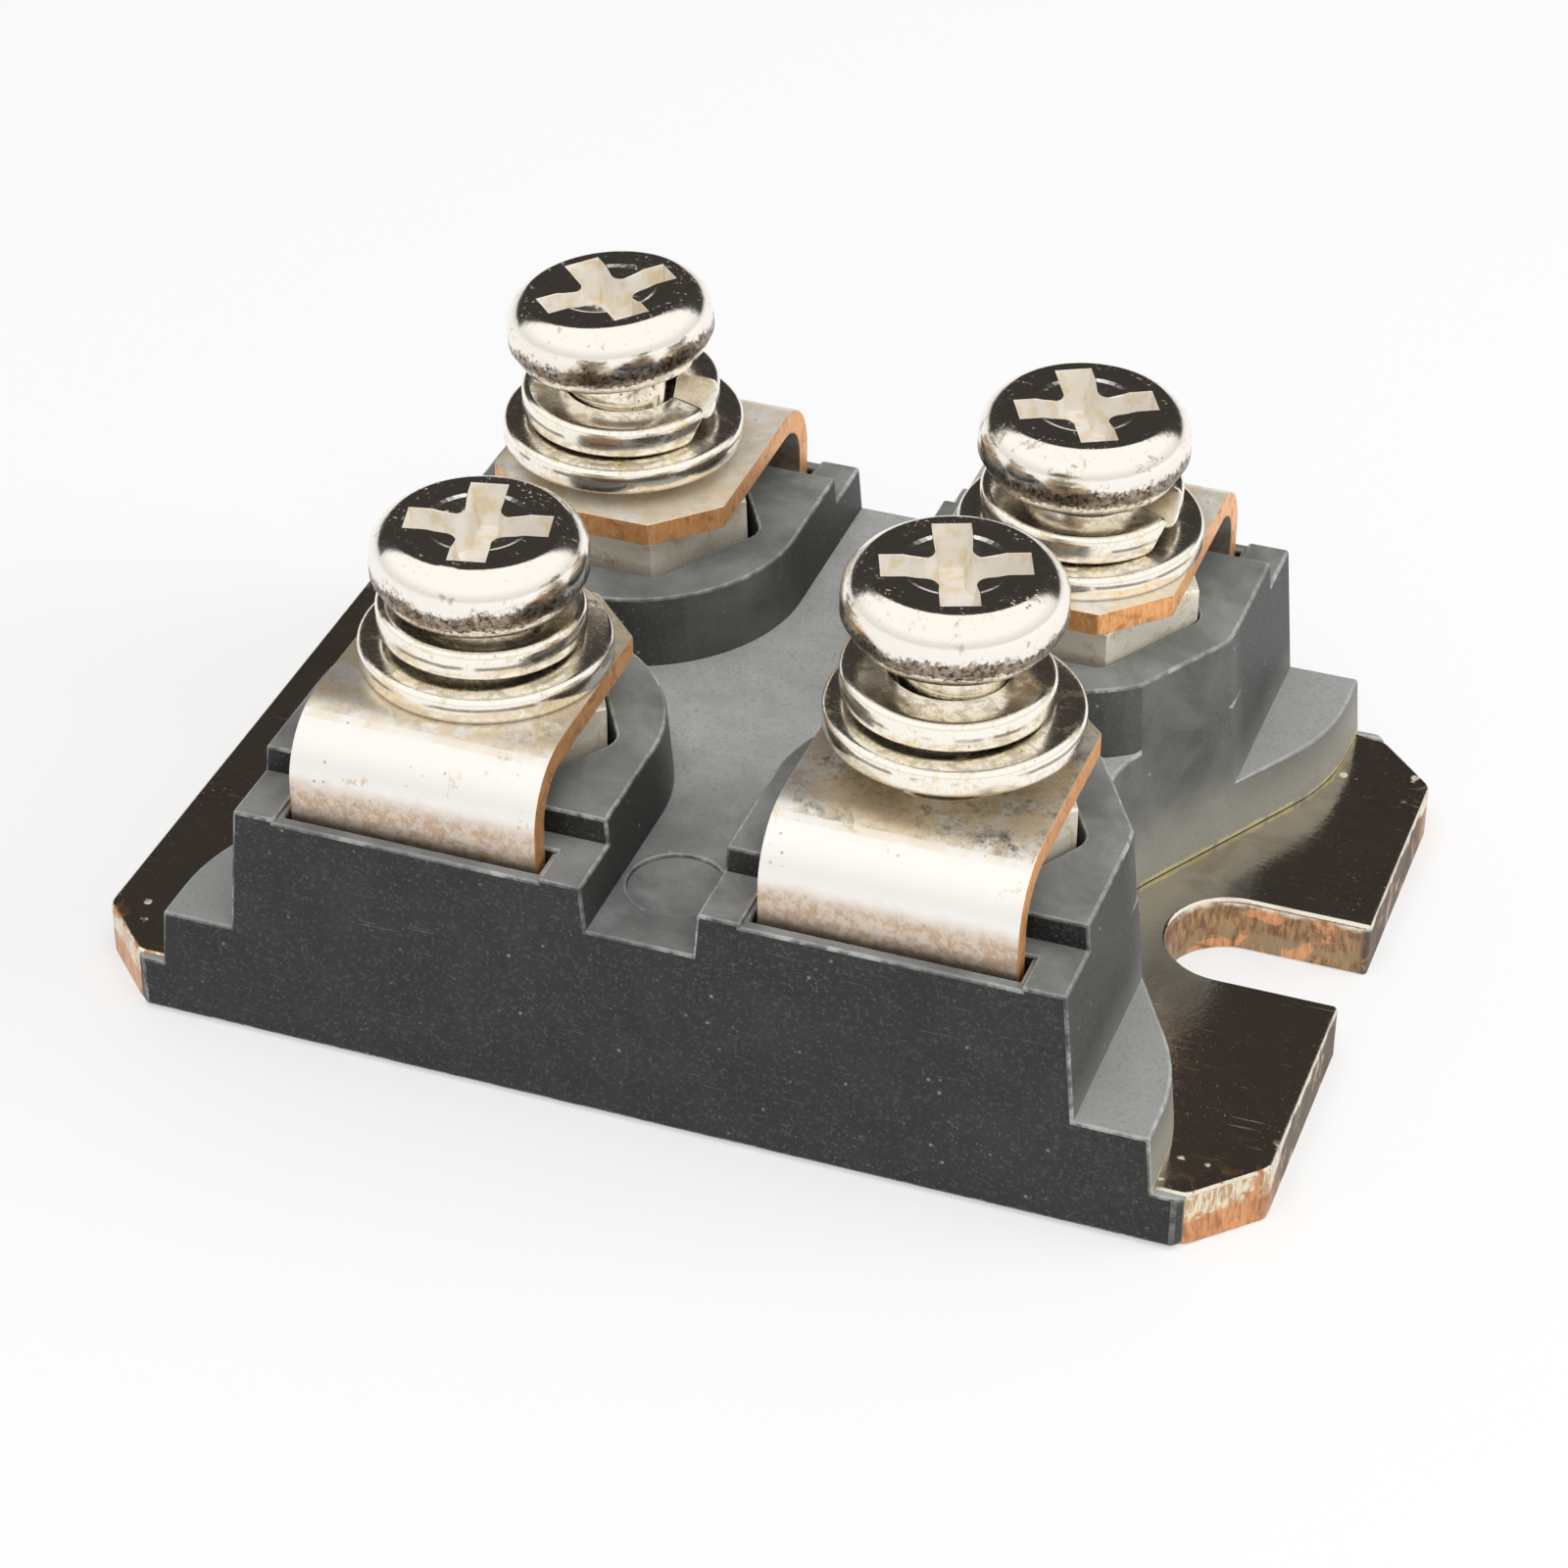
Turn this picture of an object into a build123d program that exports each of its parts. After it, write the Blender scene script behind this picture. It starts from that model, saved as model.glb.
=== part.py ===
"""Dual diode module in a flat isolated package with four screw terminals.

Frame: the origin is at the middle of the underside of the base plate, which lies on Z = 0.
+X runs along the length of the plate, towards the end with the open slot. -Y is the long side
that faces the viewer, and +Z points up through the terminal screws. All sizes are millimetres.
"""
from build123d import *
from math import cos, radians, sin, tan
import os

# Base plate: nickel plated copper, a round hole at one end and an open slot at the other
plate_length = 38.1
plate_width = 24.8
plate_thickness = 2.0
plate_corner = 2.0
plate_corner_blend = 0.6
mount_margin = 3.95
mount_hole = 4.2

# Housing: outside form, heights above the underside of the plate
skirt_wall = 0.3
skirt_lift = 0.15
foot_margin = 3.0
corner_height = 4.03
valley_height = 7.0
top_height = 9.45
ledge_drop = 0.9
ledge_width = 2.34
draft = 5.0
pedestal_half = 5.8
recess_radius = 3.85
recess_angle = 60.0
recess_blend = 7.0
mark_radius = 1.5
mark_depth = 0.12
mark_inset = 3.15

# Housing: inner cavity, pockets and slots
cavity_end = 3.85
cavity_wall = 1.1
cavity_roof = 4.6
pocket_gap = 0.3
pocket_corner = 0.8
tip_hole = 4.6
tip_floor = 5.3
slot_gap = 0.15
lead_in_depth = 0.12
lead_in_gap = 0.3

# Terminals: plated copper strip, bent over the nut and down into the housing
terminal_inset = 7.6
terminal_gap = 1.45
terminal_width = 8.0
terminal_thickness = 0.8
terminal_reach = 4.25
terminal_chamfer = 1.9
bend_gap = 0.05
leg_wall = 0.6
leg_width = 4.4
shoulder_drop = 0.95
foot_reach = 2.2
foot_bend = 0.4
terminal_hole_width = 4.8
terminal_hole_length = 5.2

# Terminal hardware
nut_flats = 7.0
nut_face = 6.65
nut_height = 3.2
nut_bore = 4.14
nut_play = 0.3
nut_chamfer_angle = 30.0
head_diameter = 6.7
head_height = 2.25
head_crown = 1.05
head_flat = 5.1
head_foot = 5.95
head_foot_height = 0.68
neck_diameter = 3.4
neck_length = 3.2
thread_diameter = 3.9
thread_tip = 0.5
tip_gap = 0.82
cross_span = 4.4
cross_wing = 1.15
cross_corner = 0.45
cross_depth = 1.4
cross_draft = 9.0
dish_radius = 1.6
dish_floor = 0.96
dish_depth = 0.35
washer_diameter = 7.85
washer_bore = 3.7
washer_thickness = 0.8
lock_diameter = 6.5
lock_bore = 3.7
lock_height = 1.0
lock_rise = 0.4
lock_split = 14.0

# How each screw stands: height of the head's underside above the tab, sideways shift, leans of
# screw and nut towards -X, play of both washers, turn of the cross and of the washer's split
stands = {
    "front_left": dict(side=(-1, -1), lift=2.42, shift=0.0, lean=0.0, nut_lean=0.0,
                       flat=0.1, lock=0.0, cross=13.5, split=100.0),
    "front_right": dict(side=(1, -1), lift=4.25, shift=0.0, lean=0.0, nut_lean=0.0,
                        flat=0.1, lock=-0.12, cross=21.5, split=60.0),
    "back_left": dict(side=(-1, 1), lift=3.6, shift=-0.09, lean=5.5, nut_lean=2.4,
                      flat=0.05, lock=0.05, cross=43.5, split=-14.0),
    "back_right": dict(side=(1, 1), lift=2.55, shift=0.2, lean=0.0, nut_lean=0.0,
                       flat=0.0, lock=0.0, cross=27.5, split=-20.0),
}

# Inside: direct bonded substrate, two chips, bond wires and soft potting
substrate_end_gap = 0.35
substrate_side_gap = 0.3
back_foil = 0.25
ceramic = 0.64
top_foil = 0.3
foil_margin = 0.5
foil_gap = 0.9
anode_foil = 4.4
chip_margin = 0.625
chip_height = 0.25
wire_diameter = 0.38
wire_count = 4
wire_pad_width = 0.53
wire_pad_length = 0.9
wire_pad_height = 0.3
wire_sag = 0.45

# Derived places: mounting centres 30.2 apart, terminals 15.0 by 12.7 apart, tabs 11.7 high
housing_half = plate_width / 2 + skirt_wall
foot_length = plate_length - 2 * foot_margin
mount_x = plate_length / 2 - mount_margin
axis_x = mount_x - terminal_inset
axis_y = housing_half / 2
ledge_height = top_height - ledge_drop
terminal_top = top_height + terminal_gap + terminal_thickness
nut_top = terminal_top - terminal_thickness
pocket_floor = nut_top - nut_height - nut_play
nut_middle = (nut_top + pocket_floor) / 2
leg_out = housing_half - leg_wall - axis_y
leg_in = leg_out - terminal_thickness
leg_shoulder = ledge_height - shoulder_drop
terminal_bend = leg_in - nut_flats / 2 - bend_gap
lowest_lift = min(stand["lift"] for stand in stands.values())
screw_length = terminal_top + lowest_lift - tip_floor - tip_gap
cavity_length = foot_length - 2 * cavity_end
substrate_length = 2 * (mount_x - recess_radius - cavity_wall - substrate_end_gap)
substrate_width = 2 * (housing_half - cavity_wall - substrate_side_gap)
foil_length = substrate_length - 2 * foil_margin
foil_width = substrate_width - 2 * foil_margin
foil_top = plate_thickness + back_foil + ceramic + top_foil
chip_size = (foil_length - foil_gap) / 2 - 2 * chip_margin
wire_pitch = chip_size / (wire_count + 1)
tall = 4 * top_height


def block(x0, x1, y0, y1, z0, z1):
    """Box between two corners."""
    middle = Pos((x0 + x1) / 2, (y0 + y1) / 2, (z0 + z1) / 2)
    return middle * Box(x1 - x0, y1 - y0, z1 - z0)


def seat(side):
    """Place of a terminal: its screw axis, with local +Y towards the nearer long side."""
    return Pos(side[0] * axis_x, side[1] * axis_y, 0) * Rot(0, 0, 0 if side[1] > 0 else 180)


def base_plate():
    outline = Rectangle(plate_length, plate_width)
    outline = chamfer(outline.vertices(), plate_corner)
    outline = fillet(outline.vertices(), plate_corner_blend)
    hole = Pos(-mount_x, 0) * Circle(mount_hole / 2)
    slot = Pos(mount_x, 0) * Circle(mount_hole / 2)
    slot += Pos(mount_x + plate_length / 2, 0) * Rectangle(plate_length, mount_hole)
    return extrude(outline - hole - slot, plate_thickness)


def recess_sketch(radius):
    """Plan of the screw recess at one end: a round waist with two straight sides that flare."""
    angle = radians(recess_angle)
    x0 = mount_x - radius * sin(angle)
    y0 = radius * cos(angle)
    run = plate_length
    x1 = x0 + run * cos(angle)
    y1 = y0 + run * sin(angle)
    wedge = Polygon((x0, y0), (x0, -y0), (x1, -y1), (x1, y1), align=None)
    return Pos(mount_x, 0) * Circle(radius) + wedge


def ended(sketch):
    """The sketch and its copy at the other end."""
    return sketch + Rot(0, 0, 180) * sketch


def tapered_body():
    """Full height body with drafted ends and recesses and plain upright long sides."""
    outline = Rectangle(foot_length, 2 * foot_length) - ended(recess_sketch(recess_radius))
    corners = outline.vertices().filter_by(
        lambda v: abs(abs(v.X) - foot_length / 2) < 0.01 and abs(v.Y) < foot_length / 2)
    outline = fillet(corners, recess_blend)
    body = Pos(0, 0, plate_thickness) * extrude(outline, top_height - plate_thickness, taper=draft)
    return body & block(-plate_length, plate_length, -housing_half, housing_half, 0, tall)


def pedestal():
    """One terminal pedestal above the valley: a half round end and straight sides."""
    plan = Circle(pedestal_half)
    plan += Pos(0, plate_width / 2) * Rectangle(2 * pedestal_half, plate_width)
    return Pos(0, 0, valley_height) * extrude(plan, top_height - valley_height, taper=draft)


def end_step():
    """Cutter that steps the body down to the low corner blocks at one end."""
    slope = tan(radians(draft))
    edge = axis_x + pedestal_half
    low = edge + (valley_height - corner_height) * slope
    high = edge - (tall - valley_height) * slope
    section = Polygon((low, corner_height), (plate_length, corner_height),
                      (plate_length, tall), (high, tall), align=None)
    return extrude(Plane.XZ * section, 2 * plate_width, both=True)


def skirt():
    """Wall that covers the long edge of the plate, from the body down to just above its base."""
    half = plate_length / 2 - plate_corner
    inner = plate_width / 2
    plan = Polygon((half, inner), (half - skirt_wall, housing_half),
                   (skirt_wall - half, housing_half), (-half, inner), align=None)
    return Pos(0, 0, skirt_lift) * extrude(plan, plate_thickness - skirt_lift)


def pocket():
    """Six sided nut pocket with the blind hole for the screw tip below it."""
    flats = nut_flats + 2 * pocket_gap
    plan = RegularPolygon(flats / 2, 6, major_radius=False, rotation=0)
    plan = fillet(plan.vertices(), pocket_corner)
    well = Pos(0, 0, pocket_floor) * extrude(plan, tall)
    tip = Pos(0, 0, tip_floor) * extrude(Circle(tip_hole / 2), tall)
    return well + tip


def leg_slot():
    """Stepped slot that the terminal leg drops into, with a shallow lead-in on the ledge."""
    y0 = leg_in - slot_gap
    y1 = leg_out + slot_gap
    wide = terminal_width / 2 + slot_gap
    slim = leg_width / 2 + slot_gap
    floor = leg_shoulder - slot_gap
    upper = block(-wide, wide, y0, y1, floor, tall)
    lower = block(-slim, slim, y0, y1, plate_thickness, tall)
    lead = terminal_width / 2 + lead_in_gap
    apron = block(-lead, lead, y0, plate_width, ledge_height - lead_in_depth, tall)
    return upper + lower + apron


def cavity():
    """Space over the substrate, inside the walls and clear of the screw recesses."""
    width = 2 * (housing_half - cavity_wall)
    plan = Rectangle(cavity_length, width) - ended(recess_sketch(recess_radius + cavity_wall))
    return Pos(0, 0, plate_thickness) * extrude(plan, cavity_roof - plate_thickness)


def housing():
    body = tapered_body()
    lower = body & block(-plate_length, plate_length, -plate_width, plate_width, 0, valley_height)
    shell = lower
    for stand in stands.values():
        shell += body & (seat(stand["side"]) * pedestal())
    shell -= end_step()
    shell -= Rot(0, 0, 180) * end_step()
    step = housing_half - ledge_width
    for flip in (0, 180):
        above = block(-plate_length, plate_length, step, plate_width, ledge_height, tall)
        shell -= Rot(0, 0, flip) * above
        shell += Rot(0, 0, flip) * skirt()
    shell -= cavity()
    for stand in stands.values():
        shell -= seat(stand["side"]) * pocket()
        shell -= seat(stand["side"]) * leg_slot()
    mark = Pos(0, mark_inset - housing_half, valley_height - mark_depth)
    shell -= mark * extrude(Circle(mark_radius), tall)
    return shell


def terminal():
    """Strip bent over the nut: flat tab, round bend, leg, and a foot on the foil."""
    t = terminal_thickness
    end = leg_out - foot_reach
    profile = Polygon((-terminal_reach, terminal_top), (leg_out, terminal_top), (leg_out, foil_top),
                      (end, foil_top), (end, foil_top + t), (leg_in, foil_top + t),
                      (leg_in, terminal_top - t), (-terminal_reach, terminal_top - t), align=None)
    bends = (((leg_out, terminal_top), terminal_bend + t), ((leg_in, terminal_top - t), terminal_bend),
             ((leg_out, foil_top), foot_bend + t), ((leg_in, foil_top + t), foot_bend))
    for (y, z), radius in bends:
        corner = profile.vertices().sort_by_distance((y, z, 0))[0]
        profile = fillet(corner, radius)
    strip = extrude(Plane.YZ * profile, terminal_width / 2, both=True)
    y1 = leg_out + t
    plan = Polygon((-terminal_width / 2, -terminal_reach), (terminal_width / 2, -terminal_reach),
                   (terminal_width / 2, y1), (-terminal_width / 2, y1), align=None)
    free = plan.vertices().filter_by(lambda v: v.Y < 0)
    plan = chamfer(free, terminal_chamfer)
    strip &= extrude(plan, tall)
    strip -= block(-terminal_width, -leg_width / 2, -tall, tall, 0, leg_shoulder)
    strip -= block(leg_width / 2, terminal_width, -tall, tall, 0, leg_shoulder)
    hole = SlotOverall(terminal_hole_length, terminal_hole_width, rotation=90)
    return strip - Pos(0, 0, terminal_top - 2 * t) * extrude(hole, tall)


def nut():
    """Hexagon nut with both faces chamfered and its corners towards +X and -X, from Z = 0."""
    prism = extrude(RegularPolygon(nut_flats / 2, 6, major_radius=False, rotation=0), nut_height)
    corner = nut_flats / 2 / cos(radians(30))
    flat = nut_face / 2
    rise = (corner - flat) * tan(radians(nut_chamfer_angle))
    section = Polygon((0, 0), (flat, 0), (corner, rise), (corner, nut_height - rise),
                      (flat, nut_height), (0, nut_height), align=None)
    turned = revolve(Plane.XZ * section, Axis.Z)
    return (prism & turned) - extrude(Circle(nut_bore / 2), nut_height)


def cross_sketch(span, wing):
    """Cross with rounded inner corners."""
    cross = Rectangle(span, wing) + Rectangle(wing, span)
    inner = cross.vertices().filter_by(lambda v: abs(abs(v.X) - abs(v.Y)) < 0.01)
    return fillet(inner, cross_corner)


def screw(turn):
    """Cross recessed pan head screw. Z = 0 is the underside of the head."""
    rim = head_diameter / 2
    flat = head_flat / 2
    side = head_height - head_crown
    tip = thread_diameter / 2 - thread_tip
    inset = rim - flat
    round_over = (inset ** 2 + head_crown ** 2) / (2 * inset)
    with BuildSketch(Plane.XZ) as half:
        with BuildLine():
            Line((0, 0), (head_foot / 2, 0))
            Line((head_foot / 2, 0), (rim, head_foot_height))
            Line((rim, head_foot_height), (rim, side))
            RadiusArc((rim, side), (flat, head_height), -round_over)
            Line((flat, head_height), (0, head_height))
            Line((0, head_height), (0, 0))
        make_face()
    body = revolve(half.sketch, Axis.Z)
    body += Pos(0, 0, -neck_length / 2) * Cylinder(neck_diameter / 2, neck_length)
    shank = Polygon((0, -neck_length), (thread_diameter / 2, -neck_length),
                    (thread_diameter / 2, thread_tip - screw_length), (tip, -screw_length),
                    (0, -screw_length), align=None)
    body += revolve(Plane.XZ * shank, Axis.Z)
    less = 2 * cross_depth * tan(radians(cross_draft))
    mouth = cross_sketch(cross_span, cross_wing)
    floor = Pos(0, 0, -cross_depth) * cross_sketch(cross_span - less, cross_wing - less)
    drive = Pos(0, 0, head_height) * Rot(0, 0, turn) * loft([mouth, floor], ruled=True)
    dish = Pos(0, 0, head_height - dish_depth / 2) * Cone(dish_floor, dish_radius, dish_depth)
    return body - drive - dish


def flat_washer():
    ring = Circle(washer_diameter / 2) - Circle(washer_bore / 2)
    return extrude(ring, washer_thickness)


def lock_washer(turn):
    """Split spring washer: a flat section wound as a shallow left handed coil, from Z = 0."""
    middle = (lock_diameter + lock_bore) / 4
    width = (lock_diameter - lock_bore) / 2
    pitch = lock_rise * 360 / (360 - lock_split)
    path = Helix(pitch, lock_rise, middle, lefthand=True)
    section = Plane(origin=path @ 0, x_dir=(1, 0, 0), z_dir=(0, 1, 0)) * Rectangle(width, lock_height)
    coil = sweep(section, path=path, is_frenet=True)
    return Rot(0, 0, turn) * Pos(0, 0, lock_height / 2) * coil


def stack(stand):
    """Nut, flat washer, lock washer and screw of one terminal, in place.

    The screw leans about the middle of its nut. The washers stay level, on the tab or on the
    shoulder of the thread, and follow the neck sideways.
    """
    axis = Pos(stand["side"][0] * axis_x, stand["side"][1] * axis_y, 0)
    lean = radians(stand["lean"])
    pivot = axis * Pos(stand["shift"], 0, nut_middle)
    lift = terminal_top + stand["lift"] - nut_middle
    shoulder = nut_middle + (lift - neck_length) * cos(lean)
    shoulder += sin(lean) * thread_diameter / 2
    rest = max(terminal_top, shoulder)
    top = rest + washer_thickness

    def follow(height, play):
        """Place of a washer on the leaning neck, with its underside at the given height."""
        drift = (height + washer_thickness / 2 - nut_middle) * tan(lean)
        return axis * Pos(stand["shift"] - drift + play, 0, height)

    drop = 0 if stand["nut_lean"] else nut_play / 2
    return {
        "nut": pivot * Rot(0, -stand["nut_lean"], 0) * Pos(0, 0, drop - nut_height / 2) * nut(),
        "flat_washer": follow(rest, stand["flat"]) * flat_washer(),
        "lock_washer": follow(top, stand["lock"]) * lock_washer(stand["split"]),
        "screw": pivot * Rot(0, -stand["lean"], 0) * Pos(0, 0, lift) * screw(stand["cross"]),
    }


def substrate():
    """Bonded ceramic with its foils, and on each half a chip with its wires.

    The left diode has its cathode foil towards +Y, and the right one is turned end for end.
    """
    pieces = {}
    z = plate_thickness
    pieces["substrate_back_foil"] = block(-foil_length / 2, foil_length / 2, -foil_width / 2,
                                          foil_width / 2, z, z + back_foil)
    z += back_foil
    pieces["substrate_ceramic"] = block(-substrate_length / 2, substrate_length / 2,
                                        -substrate_width / 2, substrate_width / 2, z, z + ceramic)
    z += ceramic
    x0 = -foil_length / 2
    x1 = -foil_gap / 2
    split = -foil_width / 2 + anode_foil
    chip_x = (x0 + x1) / 2
    chip_y = split + foil_gap + chip_size / 2 + foil_gap
    for name, turn in (("left", 0), ("right", 180)):
        half = Rot(0, 0, turn)
        cathode = block(x0, x1, split + foil_gap, foil_width / 2, z, z + top_foil)
        anode = block(x0, x1, -foil_width / 2, split, z, z + top_foil)
        top = foil_top + chip_height
        chip = block(chip_x - chip_size / 2, chip_x + chip_size / 2, chip_y - chip_size / 2,
                     chip_y + chip_size / 2, foil_top, top)
        wires = [bond_wire(chip_x + (i - (wire_count - 1) / 2) * wire_pitch, split, chip_y, top)
                 for i in range(wire_count)]
        pieces["cathode_foil_" + name] = half * cathode
        pieces["anode_foil_" + name] = half * anode
        pieces["diode_chip_" + name] = half * chip
        pieces["bond_wires_" + name] = half * Compound(children=wires)
    return pieces


def bond_wire(x, split, chip_y, chip_top):
    """Round wire arched from a flattened pad on the foil to one on the chip."""
    half = wire_pad_length / 2
    wide = wire_pad_width / 2
    y0 = split - 2 * wire_pad_length
    y1 = chip_y - chip_size / 4
    z0 = foil_top + wire_pad_height / 2
    z1 = chip_top + wire_pad_height / 2
    low = block(x - wide, x + wide, y0 - half, y0 + half, foil_top, foil_top + wire_pad_height)
    high = block(x - wide, x + wide, y1 - half, y1 + half, chip_top, chip_top + wire_pad_height)
    middle = ((y0 + y1) / 2, (z0 + z1) / 2 + wire_sag)
    arc = ThreePointArc((x, y0, z0), (x, *middle), (x, y1, z1))
    ring = Plane(origin=arc @ 0, z_dir=arc % 0) * Circle(wire_diameter / 2)
    wire = sweep(ring, path=arc) + low + high
    keep = block(x - wide, x + wide, y0 - half, y1, foil_top, tall)
    keep -= block(x - wide, x + wide, chip_y - chip_size / 2, y1, foil_top, chip_top)
    return (wire & keep) + high


def build():
    """Every piece of the module by node name."""
    pieces = {"base_plate": base_plate(), "housing": housing()}
    for name, stand in stands.items():
        pieces["terminal_" + name] = seat(stand["side"]) * terminal()
    for name, stand in stands.items():
        for kind, solid in stack(stand).items():
            pieces[kind + "_" + name] = solid
    inside = substrate()
    gel = cavity()
    for name, solid in inside.items():
        gel -= solid
    for name in stands:
        gel -= pieces["terminal_" + name]
    pieces.update(inside)
    pieces["potting_gel"] = gel
    return pieces


os.makedirs("parts", exist_ok=True)
for node, solid in build().items():
    export_step(solid, "parts/" + node + ".step")
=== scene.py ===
"""Finish of the four terminal diode module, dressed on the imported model.

The frame is the CAD one: origin under the middle of the base plate, +X towards the open slot,
-Y the long side that faces the viewer, +Z up through the terminal screws. The scene is in metres.
Sizes in materials are millimetres. Rings and screws are built in millimetres too, and scaled when
they are put in place. The floor, the lights and the camera are given in metres.
"""
from math import pi, radians

import bmesh
import bpy
from mathutils import Matrix, Vector


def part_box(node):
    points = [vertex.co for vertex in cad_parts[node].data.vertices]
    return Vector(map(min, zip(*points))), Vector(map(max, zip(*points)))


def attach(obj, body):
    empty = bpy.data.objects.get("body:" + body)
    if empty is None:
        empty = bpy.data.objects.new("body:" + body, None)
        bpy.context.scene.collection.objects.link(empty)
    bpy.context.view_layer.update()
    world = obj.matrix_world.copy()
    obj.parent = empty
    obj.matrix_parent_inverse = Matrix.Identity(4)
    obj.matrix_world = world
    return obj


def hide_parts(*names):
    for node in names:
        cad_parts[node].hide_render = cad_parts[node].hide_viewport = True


MM = 0.001
CORNERS = ("front_left", "front_right", "back_left", "back_right")

# Terminal hardware, as in the solids. The middle of the nuts counts from the foot of the module,
# heights on a screw from the underside of its head, and those of the washers from their own foot
NUT_MIDDLE = 9.15
HEAD_TOP = 2.25
NECK_END = -3.2
SCREW_TIP = -8.0
WASHER_BORE = 1.85
FLAT_WASHER_RIM = 3.925
FLAT_WASHER_HEIGHT = 0.8
LOCK_WASHER_RIM = 3.25
LOCK_WASHER_HEIGHT = 1.0
LOCK_WASHER_CLIMB = 0.4

# Each screw's axis at the middle of its nut, its lean towards -X in degrees and the height of its
# head's underside above the middle of the nut
SCREWS = {"front_left": (-7.5, -6.35, 0.0, 4.97), "front_right": (7.5, -6.35, 0.0, 6.8),
          "back_left": (-7.59, 6.35, 5.5, 6.15), "back_right": (7.7, 6.35, 0.0, 5.1)}

# Where the lower end of each lock washer lies, in degrees round its screw
SPLITS = {"front_left": 100, "front_right": 60, "back_left": -14, "back_right": -20}

# Colours of the plated pieces
SCREW_PLATING = (0.96, 0.915, 0.84)
SCREW_STAIN = (0.45, 0.34, 0.24)
SCUFF = (0.72, 0.60, 0.40)
WASHER_PLATING = (0.99, 0.945, 0.85)
WASHER_STAIN = (0.92, 0.77, 0.48)
TAB_PLATING = (0.97, 0.945, 0.90)
TAB_STAIN = (0.70, 0.52, 0.30)
TAB_GOLD = (0.84, 0.66, 0.38)
# Tan low on the bend: partly stain, partly a painted reflection
TAB_TAN_AND_REFLECTION = (0.54, 0.35, 0.20)
NUT_PLATING = (0.97, 0.91, 0.77)
NUT_STAIN = (0.66, 0.50, 0.27)
# Browns for dirt, also used for painted shade and painted dark reflection on heads and washers
GRIME_AND_SHADE_DARK = (0.070, 0.044, 0.030)
GRIME_AND_SHADE_LIGHT = (0.32, 0.22, 0.13)
CROSS_PALE = (0.94, 0.91, 0.86)
CROSS_GOLD = (0.84, 0.70, 0.46)

# Colours of sheared copper and of the base plate
COPPER_BRIGHT = (0.98, 0.53, 0.22)
COPPER_DEEP = (0.80, 0.34, 0.12)
COPPER_STAIN = (0.30, 0.13, 0.06)
COPPER_SMEAR = (0.88, 0.76, 0.56)
PLATE_BRIGHT = (0.86, 0.79, 0.68)
PLATE_DULL = (0.50, 0.41, 0.31)
# Rim browns darker than bare copper, in part painted shade
RIM_BROWN = (0.48, 0.28, 0.13)
RIM_DARK = (0.19, 0.095, 0.042)
RIM_SMEAR = (0.34, 0.25, 0.14)
SPOT_BRIGHT = (0.88, 0.40, 0.19)
SPOT_DEEP = (0.56, 0.22, 0.09)
# Partly grime, partly a painted dark reflection
OUTER_GRIME_AND_DARK_REFLECTION = (0.050, 0.034, 0.024)
ROLLED_PALE = (0.88, 0.78, 0.58)
ROLLED_BROWN = (0.50, 0.31, 0.15)
PIT_BROWN = (0.10, 0.07, 0.05)
GLUE_CRUMB = (0.72, 0.66, 0.44)

# Colours of the moulding
WALL_DARK = (0.012, 0.012, 0.012)
WALL_GREY = (0.028, 0.028, 0.027)
# Inner walls, tops, valley, low steps and end faces with their feet are painted lighter, and the
# outer parts of the end faces darker, for how light falls on them: painted light and shade
LIT_INNER_WALL = (0.070, 0.072, 0.068)
LIT_TOP_DARK = (0.135, 0.140, 0.136)
LIT_TOP_GREY = (0.290, 0.298, 0.288)
LIT_VALLEY_GREY = (0.52, 0.53, 0.51)
LIT_STEP_GREY = (0.345, 0.355, 0.34)
LIT_END_DARK = (0.070, 0.073, 0.068)
LIT_END_GREY = (0.160, 0.165, 0.154)
SHADED_END_SIDE = (0.026, 0.027, 0.026)
LIT_END_FOOT = (0.34, 0.33, 0.28)
GLUE_BEAD = (0.60, 0.52, 0.24)
GRIT_GREY = (0.16, 0.16, 0.155)
SPECK_GREY = (0.34, 0.34, 0.33)
# Pale edge: partly wear, partly a painted highlight
WORN_AND_LIT_EDGE = (0.50, 0.51, 0.48)

# Colours of the pieces inside
FOIL_BRIGHT = (0.86, 0.42, 0.22)
FOIL_DEEP = (0.66, 0.27, 0.13)
CERAMIC_PALE = (0.80, 0.79, 0.76)
CERAMIC_GREY = (0.72, 0.71, 0.68)
CHIP_GREY = (0.16, 0.17, 0.21)
CHIP_DARK = (0.09, 0.10, 0.14)
WIRE_BRIGHT = (0.78, 0.79, 0.80)
WIRE_DULL = (0.62, 0.63, 0.65)
GEL_DEEP = (0.72, 0.70, 0.62)
GEL_PALE = (0.82, 0.80, 0.74)
GEL_BUBBLE = (0.92, 0.92, 0.90)

# What the camera, polished metal and all else see round the module
WHITE = (1.0, 1.0, 1.0)
ROOM_LOW = (0.80, 0.795, 0.78)
ROOM_HIGH = (1.05, 1.045, 1.03)
DIM_ROOM = (0.042, 0.037, 0.033)
EVEN_GREY = (0.42, 0.42, 0.42)
TOWARDS_FRONT = (0.335, -0.942, 0.0)

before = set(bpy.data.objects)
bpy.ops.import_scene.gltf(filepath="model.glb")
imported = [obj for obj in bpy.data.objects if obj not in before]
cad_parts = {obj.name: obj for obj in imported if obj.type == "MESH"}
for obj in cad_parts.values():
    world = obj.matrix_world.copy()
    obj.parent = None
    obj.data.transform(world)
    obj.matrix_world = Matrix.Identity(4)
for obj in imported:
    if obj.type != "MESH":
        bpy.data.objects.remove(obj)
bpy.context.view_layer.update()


# Materials: a socket that does maths, and a tree that adds nodes

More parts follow.
